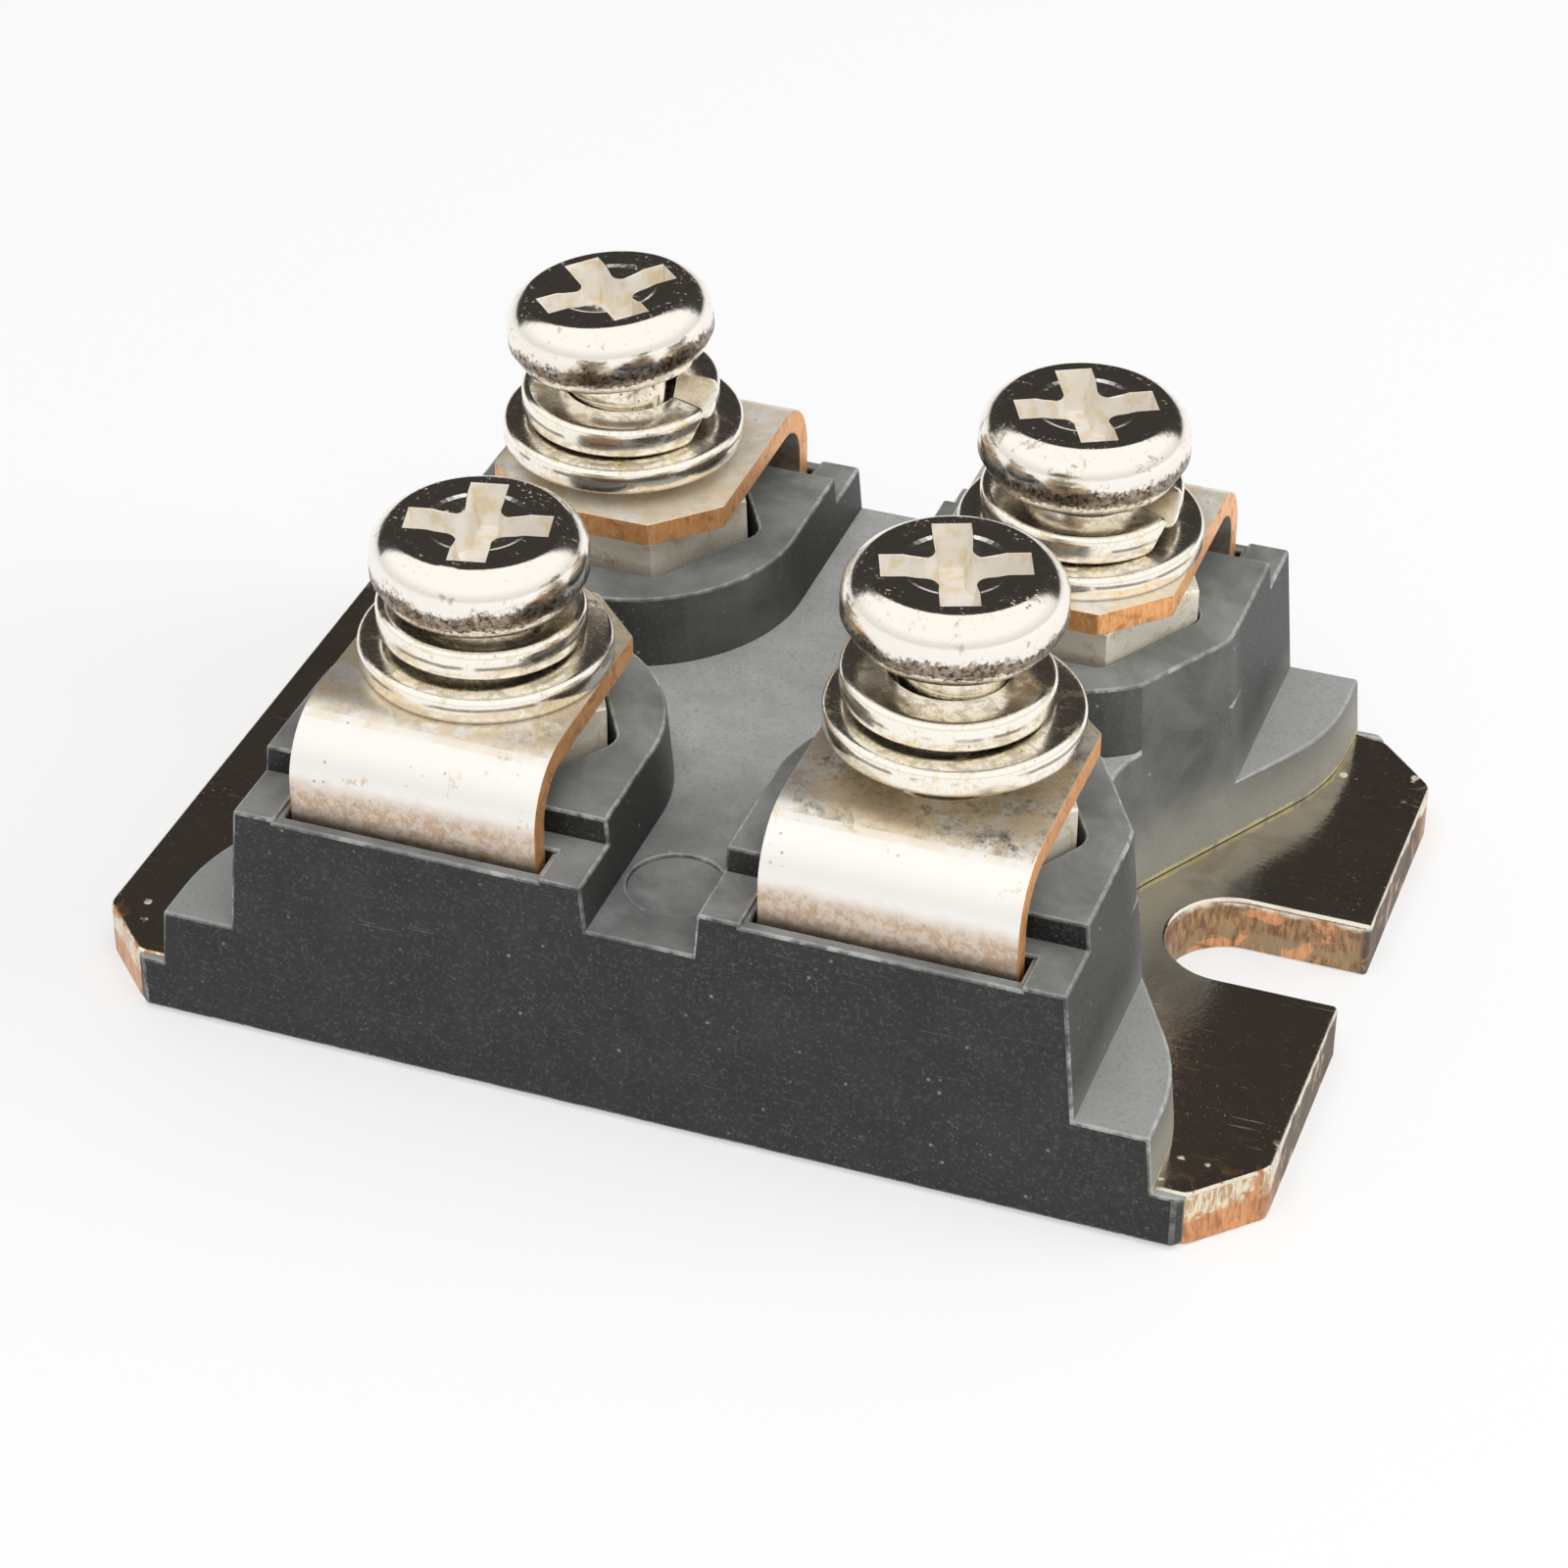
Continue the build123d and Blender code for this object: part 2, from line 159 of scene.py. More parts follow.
class Value:
    """A number or colour on its way through a material. Sums on it add Math nodes."""

    def __init__(self, tree, socket):
        self.tree = tree
        self.socket = socket

    def math(self, operation, *terms, clamp=False):
        settings = {"operation": operation, "use_clamp": clamp}
        return self.tree.node("ShaderNodeMath", settings, dict(enumerate(terms)))

    def __add__(self, other):
        return self.math("ADD", self, other)

    def __sub__(self, other):
        return self.math("SUBTRACT", self, other)

    def __mul__(self, other):
        return self.math("MULTIPLY", self, other)

    def __radd__(self, other):
        return self.math("ADD", other, self)

    def __rsub__(self, other):
        return self.math("SUBTRACT", other, self)

    def __rmul__(self, other):
        return self.math("MULTIPLY", other, self)

    def most(self, other):
        return self.math("MAXIMUM", self, other)

    def size(self):
        return self.math("ABSOLUTE", self)

    def clip(self):
        return self.math("ADD", self, 0.0, clamp=True)

    def step(self, low, high):
        """0 below low, 1 above high and a smooth rise between; falls when high is below low."""
        rise = {"interpolation_type": "SMOOTHSTEP"}
        ends = {"Value": self, "From Min": min(low, high), "From Max": max(low, high)}
        ends["To Min"], ends["To Max"] = (0.0, 1.0) if low < high else (1.0, 0.0)
        return self.tree.node("ShaderNodeMapRange", rise, ends)


class Tree:
    """The nodes of one material or of the world."""

    def __init__(self, owner):
        owner.use_nodes = True
        self.nodes = owner.node_tree.nodes
        self.links = owner.node_tree.links
        self.nodes.clear()

    def node(self, kind, settings=None, inputs=None, output=0):
        made = self.nodes.new(kind)
        for name, value in (settings or {}).items():
            setattr(made, name, value)
        for name, value in (inputs or {}).items():
            if isinstance(value, Value):
                self.links.new(value.socket, made.inputs[name])
            else:
                made.inputs[name].default_value = value
        return Value(self, made.outputs[output])

    def place(self, turn=(0, 0, 0), stretch=(1, 1, 1)):
        """Object coordinates, turned by degrees and stretched."""
        here = self.node("ShaderNodeTexCoord", output="Object")
        return self.node("ShaderNodeMapping", {}, {
            "Vector": here, "Rotation": [radians(a) for a in turn], "Scale": stretch})

    def axis(self, name):
        """One object coordinate in millimetres."""
        here = self.node("ShaderNodeTexCoord", output="Object")
        return self.node("ShaderNodeSeparateXYZ", {}, {0: here}, name) * (1 / MM)

    def facing(self, name):
        """One component of the true surface normal."""
        true = self.node("ShaderNodeNewGeometry", output="True Normal")
        return self.node("ShaderNodeSeparateXYZ", {}, {0: true}, name)

    def layer(self, name):
        """A number stored on the vertices, such as the height above a screw's or ring's foot."""
        return self.node("ShaderNodeAttribute", {"attribute_name": name}, output="Fac")

    def noise(self, grain, detail=4.0, rough=0.55, bend=0.0, where=None):
        """Cloudy noise from 0 to 1, with a grain in millimetres."""
        return self.node("ShaderNodeTexNoise", {}, {
            "Vector": where or self.place(), "Scale": 1 / (grain * MM), "Detail": detail,
            "Roughness": rough, "Distortion": bend})

    def specks(self, grain):
        """Distance to the nearest of scattered points, a grain in millimetres apart."""
        return self.node("ShaderNodeTexVoronoi", {}, {
            "Vector": self.place(), "Scale": 1 / (grain * MM)}, "Distance")

    def mix(self, mask, low, high):
        """Colour low where the mask is 0, high where it is 1."""
        return self.node("ShaderNodeMix", {"data_type": "RGBA"}, {
            0: mask, 6: low if isinstance(low, Value) else (*low, 1),
            7: high if isinstance(high, Value) else (*high, 1)}, 2)

    def bump(self, height, depth):
        """Normal from a height of 0 to 1, worth the given depth in millimetres."""
        return self.node("ShaderNodeBump", {}, {
            "Height": height, "Distance": depth * MM, "Strength": 1.0})

    def finish(self, kind, shader):
        """Joins the shader to an output node of the given kind."""
        out = self.nodes.new(kind)
        self.links.new(shader.socket, out.inputs["Surface"])


def material(name, paint):
    """Material whose surface is what paint(tree) returns for the Principled shader's sockets."""
    made = bpy.data.materials.new(name)
    tree = Tree(made)
    shader = tree.node("ShaderNodeBsdfPrincipled", {}, {
        socket: (*value, 1) if isinstance(value, tuple) else value
        for socket, value in paint(tree).items()})
    tree.finish("ShaderNodeOutputMaterial", shader)
    return made


def plated(tint, stain, wear, gloss, grain, extra=None):
    """Warm bright plating with brown mottling, pits and fine wipe marks. extra(t) gives a mask
    where it is darker still: dirt, and on heads and washers painted shade and painted dark
    reflection."""
    def paint(t):
        cloud = t.noise(grain, 4.0, 0.62, 0.6)
        fine = t.noise(0.16, 2.0, 0.7)
        pits = t.specks(0.42).step(0.16, 0.05) * t.noise(1.6).step(0.5, 0.62)
        patch = (cloud * 0.7 + fine * 0.3).step(0.62 - 0.16 * wear, 0.7 - 0.1 * wear)
        wipe = t.noise(0.5, 3.0, 0.6, 0.0, t.place(stretch=(1.0, 7.0, 7.0)))
        colour = t.mix(patch * 0.7, tint, stain)
        colour = t.mix(pits * 0.8, colour, tuple(0.35 * c for c in stain))
        rough = gloss + 0.14 * patch + 0.12 * pits + 0.08 * wipe.step(0.45, 0.75) + 0.05 * fine
        if extra:
            # Darker still: dirt, and on heads and washers painted shade and painted dark
            # reflection
            dirt_and_shade = extra(t)
            grime_and_shade = t.mix(fine.step(0.4, 0.65), GRIME_AND_SHADE_DARK, GRIME_AND_SHADE_LIGHT)
            colour = t.mix(dirt_and_shade, colour, grime_and_shade)
            rough = rough + 0.25 * dirt_and_shade
        height = fine * 0.35 + cloud * 0.4 - pits * 0.6 + wipe * 0.2
        return {"Base Color": colour, "Metallic": 1.0, "Roughness": rough,
                "Normal": t.bump(height, 0.006)}
    return paint


def head_stain_and_dark_reflection(t):
    """Speckled brown band low on the side of a screw head: partly tarnish, partly a painted dark
    reflection.
    """
    rise = t.layer("rise")
    wave = rise + 0.9 * (t.noise(1.5, 3.0) - 0.5) + 0.7 * (t.noise(0.14, 2.0, 0.7) - 0.5)
    band = wave.step(0.28, 0.43) * wave.step(1.12, 0.90)
    return band * (0.74 + 0.26 * t.noise(0.2, 2.0, 0.75).step(0.40, 0.6))


def head_metal(t):
    """Plating of a screw, with scuffs on the flat top of its head."""
    # The brown band low on the head's side is partly tarnish and partly a painted dark reflection
    made = plated(SCREW_PLATING, SCREW_STAIN, 0.3, 0.10, 0.8, head_stain_and_dark_reflection)(t)
    rise = t.layer("rise")
    reach = t.layer("reach")
    top = rise.step(1.85, 1.95)
    rim = reach.step(2.2, 2.5) * t.noise(0.9, 1.0).step(0.46, 0.58)
    scuff = top * t.noise(0.15, 2.0, 0.7).step(0.60, 0.68)
    scuff = scuff * (t.noise(1.3, 2.0).step(0.58, 0.68) + 0.7 * rim).clip()
    made["Base Color"] = t.mix(scuff * 0.85, made["Base Color"], SCUFF)
    made["Metallic"] = 1 - 0.75 * scuff
    made["Roughness"] = made["Roughness"] + 0.3 * scuff
    return made


def washer_shade_and_stain(t):
    """Dark brown on a washer, mostly painted: a broken line round the middle of the wall is a
    painted dark reflection, its foot painted shade where it sits, and mottling on the flats a
    painted dark reflection; small specks are stain."""
    rise = t.layer("rise")
    wall = t.facing("Z").size().step(0.6, 0.3)
    wave = rise + 0.10 * (t.noise(0.9, 3.0) - 0.5)
    line = wave.step(0.40, 0.47) * wave.step(0.58, 0.51) * t.noise(1.5, 3.0).step(0.42, 0.52)
    foot = wave.step(0.14, 0.05)
    flat = t.facing("Z").step(0.85, 0.97) * t.noise(0.5, 4.0, 0.7, 0.6).step(0.46, 0.58)
    speck = t.noise(0.16, 2.0, 0.75).step(0.52, 0.66) * t.noise(1.2, 3.0).step(0.42, 0.56)
    return (wall * (0.8 * line + 0.6 * foot) + 0.35 * flat + 0.15 * speck).clip() * 0.9


def tab_dirt(t):
    """Mottling on the flat of a tab, weaker on the back tabs so that their flats read lighter: in
    part painted light.
    """
    flat = t.facing("Z").step(0.88, 0.98)
    # Less mottling at the back lightens the back flats, which the washers shade: painted light
    share = 0.3 + 0.6 * t.axis("Y").step(0.5, -0.5) * (0.4 + 0.6 * t.axis("X").step(-1.0, 1.0))
    coarse = t.noise(0.9, 5.0, 0.75, 0.5).step(0.46, 0.60)
    fine = t.noise(0.24, 3.0, 0.8, 0.3).step(0.42, 0.58)
    return share * flat * (0.55 * coarse + 0.45 * fine * t.noise(1.8, 3.0).step(0.3, 0.55)).clip()


def tab_metal(t):
    """Matt bright plating, mottled on the flat and tan low on the bend: partly stain, partly a
    painted reflection.
    """
    made = plated(TAB_PLATING, TAB_STAIN, 0.1, 0.34, 1.1, tab_dirt)(t)
    flat = t.facing("Z").step(0.80, 0.97)
    gold = flat * t.noise(1.2, 4.0, 0.6, 0.5).step(0.36, 0.58)
    made["Base Color"] = t.mix(gold * 0.6, made["Base Color"], TAB_GOLD)
    # Tan low on the bend: partly stain, partly a painted reflection
    z = t.axis("Z") + 0.5 * (t.noise(0.5, 4.0, 0.7) - 0.5)
    tan_stain_and_reflection = z.step(10.1, 9.3) * (0.6 + 0.4 * t.noise(0.25, 3.0, 0.7).step(0.4, 0.6))
    made["Base Color"] = t.mix(tan_stain_and_reflection * 0.85, made["Base Color"], TAB_TAN_AND_REFLECTION)
    # Back flats made less metal so that they read lighter in the washers' shade: painted light
    made["Metallic"] = 0.82 - 0.45 * flat * t.axis("Y").step(-1.0, 1.0)
    return made


def recess_metal(t):
    """Satin punched surface inside the cross."""
    fine = t.noise(0.12, 2.0, 0.7)
    gold = t.noise(0.6, 3.0, 0.6).step(0.45, 0.65)
    return {"Base Color": t.mix(gold * 0.7, CROSS_PALE, CROSS_GOLD),
            "Metallic": 0.35, "Roughness": 0.42 + 0.15 * fine, "Normal": t.bump(fine, 0.012)}


def nut_metal(t):
    """Pale satin plating, scuffed and stained in patches."""
    made = plated(NUT_PLATING, NUT_STAIN, 0.6, 0.2, 0.9)(t)
    made["Metallic"] = 0.35
    made["Normal"] = t.bump(t.noise(0.9, 3.0), 0.004)
    return made


def cut_copper(t):
    """Bare copper of a sheared edge, with drag marks and darker stains."""
    drag = t.noise(0.22, 4.0, 0.6, 0.3, t.place(stretch=(3.0, 3.0, 0.6)))
    stain = t.noise(0.6, 5.0, 0.7, 0.8).step(0.48, 0.68)
    smear = t.noise(0.5, 4.0, 0.6, 1.2).step(0.62, 0.72)
    colour = t.mix(drag.step(0.3, 0.7), COPPER_BRIGHT, COPPER_DEEP)
    colour = t.mix(stain * 0.6, colour, COPPER_STAIN)
    colour = t.mix(smear * 0.6, colour, COPPER_SMEAR)
    return {"Base Color": colour, "Metallic": 0.5, "Roughness": 0.3 + 0.2 * stain + 0.1 * drag,
            "Normal": t.bump(drag + 0.4 * stain, 0.02)}


def plate_metal(t):
    """Bright plating on copper. The sheared rim is bare, darker than copper in part as painted
    shade, and darker and smeared in places; on the outer end walls darker still, partly grime and
    partly a painted dark reflection.
    """
    x = t.axis("X")
    y = t.axis("Y")
    z = t.axis("Z")
    up = t.facing("Z").size()
    cloud = t.noise(2.2, 4.0, 0.6, 0.7)
    fine = t.noise(0.2, 2.0, 0.7)
    wipe = t.noise(0.8, 4.0, 0.6, 0.0, t.place((0, 0, 28), (0.5, 6.0, 6.0)))
    rim = up.step(0.75, 0.35)
    ragged = z + 0.9 * (t.noise(0.9, 4.0, 0.6) - 0.5)
    corner = (x.size() + y.size()).step(27.4, 29.4)
    sheared = rim * (ragged + 0.75 * corner).step(1.95, 1.7)
    nick = corner * t.noise(0.7, 4.0, 0.6, 0.8).step(0.52, 0.58)
    copper = (sheared + nick).clip()
    dull = cloud.step(0.45, 0.72)
    colour = t.mix(dull * 0.6, PLATE_BRIGHT, PLATE_DULL)
    drag = t.noise(0.35, 4.0, 0.65, 0.3, t.place(stretch=(2.0, 2.0, 0.5)))
    # The rim browns are darker than bare copper: in part painted shade on the sheared walls
    bare = t.mix(drag.step(0.35, 0.65), RIM_BROWN, RIM_DARK)
    smear = t.noise(1.6, 4.0, 0.6, 1.0).step(0.50, 0.64)
    bare = t.mix(smear * 0.8, bare, RIM_SMEAR)
    spot = (t.noise(1.3, 4.0, 0.6, 0.6).step(0.58, 0.64) + 0.8 * corner).clip()
    bare = t.mix(spot * 0.8, bare, t.mix(drag.step(0.4, 0.7), SPOT_BRIGHT, SPOT_DEEP))
    # Outer end walls darkened and made less metal: partly grime, partly a painted dark reflection
    outer = x.size().step(18.7, 18.95) * (1 - 0.7 * corner)
    outer = outer * t.noise(0.9, 4.0, 0.6).step(0.64, 0.52)
    bare = t.mix(outer * 0.9, bare, OUTER_GRIME_AND_DARK_REFLECTION)
    rolled = t.mix(drag.step(0.42, 0.58), ROLLED_PALE, ROLLED_BROWN)
    colour = t.mix(corner * rim * 0.85, colour, rolled)
    colour = t.mix(copper * 0.95, colour, bare)
    pits = t.specks(0.5).step(0.15, 0.05) * t.noise(2.5).step(0.5, 0.6)
    colour = t.mix(pits * 0.7, colour, PIT_BROWN)
    dust = t.noise(0.13, 2.0, 0.8).step(0.62, 0.74) * t.noise(3.0, 3.0).step(0.40, 0.6)
    score = t.noise(0.55, 2.0, 0.5, 0.0, t.place((0, 0, -35), (0.25, 7.0, 7.0))).step(0.69, 0.72)
    dust = dust.most(score * t.noise(2.0, 2.0).step(0.45, 0.6) * up)
    near = x.size().step(15.0, 16.2) * y.size().step(8.8, 10.0) * up.step(0.8, 0.95)
    crumb = near * t.specks(0.75).step(0.26, 0.18) * t.noise(0.9).step(0.46, 0.54)
    colour = t.mix(crumb * 0.9, colour, GLUE_CRUMB)
    rough = 0.10 + 0.12 * dull + 0.2 * copper + 0.1 * pits
    rough = rough + 0.06 * wipe.step(0.5, 0.7) + 0.3 * dust
    height = 0.5 * fine + 0.8 * cloud - 0.6 * pits + 0.5 * wipe + rim * t.noise(0.3, 4.0, 0.6) * 2
    darkened_outer_copper = outer * copper
    return {"Base Color": colour, "Metallic": 1 - (0.85 * darkened_outer_copper + 0.9 * crumb).clip(),
            "Roughness": rough + 0.3 * darkened_outer_copper + 0.3 * crumb,
            "Normal": t.bump(height + 3 * crumb, 0.008)}


def moulding(worn_and_lit):
    """Black filled moulding, painted lighter on top and at the ends than on its long walls for how
    light falls on it (painted light and shade), with pale specks and, when asked for, pale edges
    that are partly broken wear and partly a painted highlight."""
    def paint(t):
        top = t.facing("Z").step(0.3, 0.85)
        end = t.facing("X").size().step(0.35, 0.9)
        grit = t.noise(0.11, 2.0, 0.7)
        cloud = t.noise(2.6, 4.0, 0.6, 0.5)
        speck = t.specks(0.62).step(0.13, 0.05) * t.noise(1.3, 3.0).step(0.46, 0.6)
        fleck = t.specks(0.26).step(0.16, 0.06) * t.noise(2.0, 3.0).step(0.48, 0.62)
        line = t.noise(0.7, 2.0, 0.5, 0.0, t.place((0, 12, 35), (0.4, 9.0, 9.0)))
        scratch = line.step(0.66, 0.70) * t.noise(2.4, 2.0).step(0.5, 0.62)
        wall = t.mix(cloud.step(0.3, 0.75), WALL_DARK, WALL_GREY)
        # Walls inside the outline, short of the front risers, are painted lighter: painted light
        inner = t.axis("Y").step(-9.5, -8.5) * t.axis("Y").size().step(12.4, 12.1)
        wall = t.mix(inner * 0.8, wall, LIT_INNER_WALL)
        # Level faces are painted lighter than the walls, the valley and the low steps lighter
        # still: painted light
        level = t.mix(cloud.step(0.25, 0.75), LIT_TOP_DARK, LIT_TOP_GREY)
        valley = t.axis("Z").step(7.4, 7.2) * t.axis("Y").step(-9.5, -2.0)
        level = t.mix(valley * (0.35 + 0.65 * cloud), level, LIT_VALLEY_GREY)
        level = t.mix(t.axis("Z").step(5.2, 4.4) * 0.85, level, LIT_STEP_GREY)
        # End faces are painted lighter, darker towards their outer parts and lighter low down:
        # painted light and shade
        face = t.mix(cloud.step(0.25, 0.75), LIT_END_DARK, LIT_END_GREY)
        face = t.mix(t.axis("Y").size().step(4.5, 7.0) * 0.85, face, SHADED_END_SIDE)
        low = t.axis("Z").step(5.6, 2.3) * t.axis("Z").step(1.7, 2.0) * (0.7 + 0.3 * cloud)
        face = t.mix(low, face, LIT_END_FOOT)
        colour = t.mix(end, wall, face)
        colour = t.mix(top, colour, level)
        bead = t.axis("Z") + 0.25 * (t.noise(0.5, 3.0) - 0.5)
        bead = bead.step(2.24, 2.14) * bead.step(1.9, 2.0) * end
        bead = bead * t.noise(0.7, 3.0).step(0.32, 0.46)
        colour = t.mix(bead * 0.8, colour, GLUE_BEAD)
        colour = t.mix(grit.step(0.50, 0.8) * 0.6, colour, GRIT_GREY)
        pale = (0.8 * speck + 0.5 * fleck + 0.2 * scratch).clip()
        colour = t.mix(pale, colour, SPECK_GREY)
        if worn_and_lit:
            # Every edge face is a little paler, a painted highlight, and paler still in broken
            # patches of wear
            broken = t.noise(0.45, 5.0, 0.65).step(0.36, 0.62)
            long = t.noise(2.6, 3.0, 0.5).step(0.40, 0.60)
            colour = t.mix(0.10 + 0.8 * broken * (0.3 + 0.7 * long), colour, WORN_AND_LIT_EDGE)
        rough = 0.46 + 0.14 * cloud + 0.1 * grit - 0.1 * scratch
        height = grit * 0.8 + cloud * 0.5 + speck * 0.6 - scratch * 0.5
        return {"Base Color": colour, "Roughness": rough, "Specular IOR Level": 0.45,
                "Normal": t.bump(height, 0.014)}
    return paint


def bare_copper(t):
    """Rolled copper foil with a fine directional grain and heat tint."""
    roll = t.noise(0.25, 4.0, 0.6, 0.0, t.place(stretch=(0.3, 4.0, 4.0)))
    tint = t.noise(3.0, 4.0, 0.6, 0.5)
    colour = t.mix(tint.step(0.35, 0.7), FOIL_BRIGHT, FOIL_DEEP)
    return {"Base Color": colour, "Metallic": 1.0, "Roughness": 0.28 + 0.2 * roll,
            "Normal": t.bump(roll, 0.004)}


def white_ceramic(t):
    grain = t.noise(0.08, 4.0, 0.7)
    cloud = t.noise(2.0, 3.0)
    colour = t.mix(cloud.step(0.3, 0.7), CERAMIC_PALE, CERAMIC_GREY)
    return {"Base Color": colour, "Roughness": 0.42 + 0.2 * grain, "Normal": t.bump(grain, 0.003)}


def chip_silicon(t):
    """Dark metallised chip with a cloudy sheen."""
    sheen = t.noise(1.4, 3.0, 0.5)
    grain = t.noise(0.05, 2.0, 0.6)
    colour = t.mix(sheen.step(0.3, 0.7), CHIP_GREY, CHIP_DARK)
    return {"Base Color": colour, "Metallic": 0.6, "Roughness": 0.18 + 0.1 * grain,
            "Normal": t.bump(grain, 0.001)}


def bond_aluminium(t):
    draw = t.noise(0.12, 3.0, 0.6, 0.0, t.place(stretch=(6.0, 0.5, 6.0)))
    colour = t.mix(draw.step(0.3, 0.7), WIRE_BRIGHT, WIRE_DULL)
    return {"Base Color": colour, "Metallic": 1.0, "Roughness": 0.26 + 0.18 * draw,
            "Normal": t.bump(draw, 0.003)}


def soft_gel(t):
    """Clear, slightly yellow soft potting with small trapped bubbles."""
    bubble = t.specks(1.1).step(0.16, 0.08) * t.noise(3.0).step(0.5, 0.6)
    cloud = t.noise(4.0, 3.0)
    colour = t.mix(cloud, GEL_DEEP, GEL_PALE)
    return {"Base Color": t.mix(bubble * 0.6, colour, GEL_BUBBLE),
            "Roughness": 0.12 + 0.1 * cloud, "Normal": t.bump(bubble + 0.3 * cloud, 0.03)}


# Washer plating with painted shade, painted dark reflection and specks of stain
washer_metal = plated(WASHER_PLATING, WASHER_STAIN, 0.6, 0.14, 0.8, washer_shade_and_stain)
finish = {
    "screw": material("screw_plating", head_metal),
    "recess": material("cross_recess", recess_metal),
    "washer": material("washer_plating", washer_metal),
    "nut": material("nut_plating", nut_metal),
    "tab": material("tab_plating", tab_metal),
    "copper": material("cut_copper", cut_copper),
    "plate": material("base_plate_metal", plate_metal),
    "black": material("black_moulding", moulding(False)),
    "black_edge": material("black_moulding_edge", moulding(True)),
    "foil": material("copper_foil", bare_copper),
    "ceramic": material("white_ceramic", white_ceramic),
    "chip": material("chip_silicon", chip_silicon),
    "wire": material("bond_aluminium", bond_aluminium),
    "gel": material("soft_gel", soft_gel),
}


# Meshes: copies of the solids with eased edges, and new rings and threads

def finished(name, bm, materials, replaces, hard=()):
    """Makes the piece from its bmesh, fixed to the module's one body. Edges sharper than 35
    degrees and those given as hard get no shading across them."""
    mesh = bpy.data.meshes.new(name)
    for face in bm.faces:
        face.smooth = True
    for edge in bm.edges:
        edge.smooth = edge.calc_face_angle(0) < radians(35) and edge not in hard
    bm.to_mesh(mesh)
    bm.free()
    for key in materials:
        mesh.materials.append(finish[key])
    piece = bpy.data.objects.new(name, mesh)
    bpy.context.scene.collection.objects.link(piece)
    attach(piece, "root")
    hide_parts(*replaces)
    shade = piece.modifiers.new("even_shading", "WEIGHTED_NORMAL")
    shade.keep_sharp = True


def solid_copy(node):
    """The node's mesh with its loose triangles joined and its flat faces made whole."""
    bm = bmesh.new()
    bm.from_mesh(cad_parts[node].data)
    bmesh.ops.remove_doubles(bm, verts=bm.verts, dist=0.0005 * MM)
    bmesh.ops.dissolve_limit(bm, angle_limit=radians(0.6), verts=bm.verts, edges=bm.edges,
                             use_dissolve_boundaries=False, delimit=set())
    return bm


def round_edges(bm, edges, radius, segments=2):
    """Rounds the edges and returns the new faces."""
    made = bmesh.ops.bevel(bm, geom=list(edges), offset=radius, offset_type="OFFSET",
                           affect="EDGES", segments=segments, profile=0.5, material=-1,
                           clamp_overlap=False, loop_slide=True)
    return made["faces"]


def corners_of(bm, angle=30.0):
    """Edges that stand out by more than the angle in degrees."""
    return [e for e in bm.edges if len(e.link_faces) == 2
            and e.calc_face_angle(0) > radians(angle) and e.is_convex]


def cut(bm, height, **side):
    """Cuts the mesh level at a height and takes away the side that is named."""
    bmesh.ops.bisect_plane(bm, geom=bm.verts[:] + bm.edges[:] + bm.faces[:], dist=1e-5,
                           plane_co=(0, 0, height), plane_no=(0, 0, 1), **side)


def close(bm):
    """Closes the open ends of a cut mesh."""
    bmesh.ops.holes_fill(bm, edges=[e for e in bm.edges if e.is_boundary], sides=0)


def dress_housing():
    """The moulding with eased edges, which have a paint of their own: pale, partly wear and partly
    a painted highlight.
    """
    bm = solid_copy("housing")
    for face in round_edges(bm, corners_of(bm), 0.10 * MM):
        face.material_index = 1
    finished("housing_shell", bm, ["black", "black_edge"], ["housing"])


def dress_plate():
    bm = solid_copy("base_plate")
    round_edges(bm, corners_of(bm), 0.15 * MM, 3)
    finished("base_plate_shell", bm, ["plate"], ["base_plate"])


def dress_terminal(corner):
    """The bent strip. Its sheared sides and the edge of its free end are bare copper."""
    low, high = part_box("terminal_" + corner)
    bm = solid_copy("terminal_" + corner)
    free_end = min(low.y, high.y, key=abs)
    tab_underside = high.z - 0.85 * MM
    tab_length = 6.4 * MM
    for face in bm.faces:
        middle = face.calc_center_median()
        level = abs(face.normal.z) > 0.5
        end = middle.z > tab_underside and abs(middle.y - free_end) < tab_length
        side = abs(face.normal.x) > 0.3
        if not level and (side or end):
            face.material_index = 1
    round_edges(bm, corners_of(bm), 0.06 * MM)
    finished("terminal_strip_" + corner, bm, ["tab", "copper"],
             ["terminal_" + corner])


def turned(points, steps, angle=2 * pi, climb=0.0):
    """Ring or coil with the given section, spun round Z and closed at its ends."""
    bm = bmesh.new()
    level = bm.verts.layers.float.new("rise")
    verts = [bm.verts.new(p) for p in points]
    for vert in verts:
        vert[level] = vert.co.z
    edges = [bm.edges.new(pair) for pair in zip(verts, verts[1:] + verts[:1])]
    whole = angle == 2 * pi
    if not whole:
        bm.faces.new(verts)
    made = bmesh.ops.spin(bm, geom=verts + edges, cent=(0, 0, 0), axis=(0, 0, 1),
                          dvec=(0, 0, climb / steps), angle=angle, steps=steps, use_merge=whole)
    if not whole:
        last = [g for g in made["geom_last"] if isinstance(g, bmesh.types.BMEdge)]
        bmesh.ops.edgeloop_fill(bm, edges=last)
    bmesh.ops.remove_doubles(bm, verts=bm.verts, dist=1e-5)
    bmesh.ops.recalc_face_normals(bm, faces=bm.faces)
    return bm


def rims(bm, radius, height=None):
    """Sharp edges that run round the axis at the given radius, at one height or at any."""
    found = []
    for edge in bm.edges:
        a, b = (vert.co for vert in edge.verts)
        near = all(abs(co.xy.length - radius) < 0.01 for co in (a, b))
        level = abs(a.z - b.z) < 0.1 and (height is None or abs(a.z - height) < 0.01)
        if near and level and edge.calc_face_angle(0) > 1.0:
            found.append(edge)
    return found


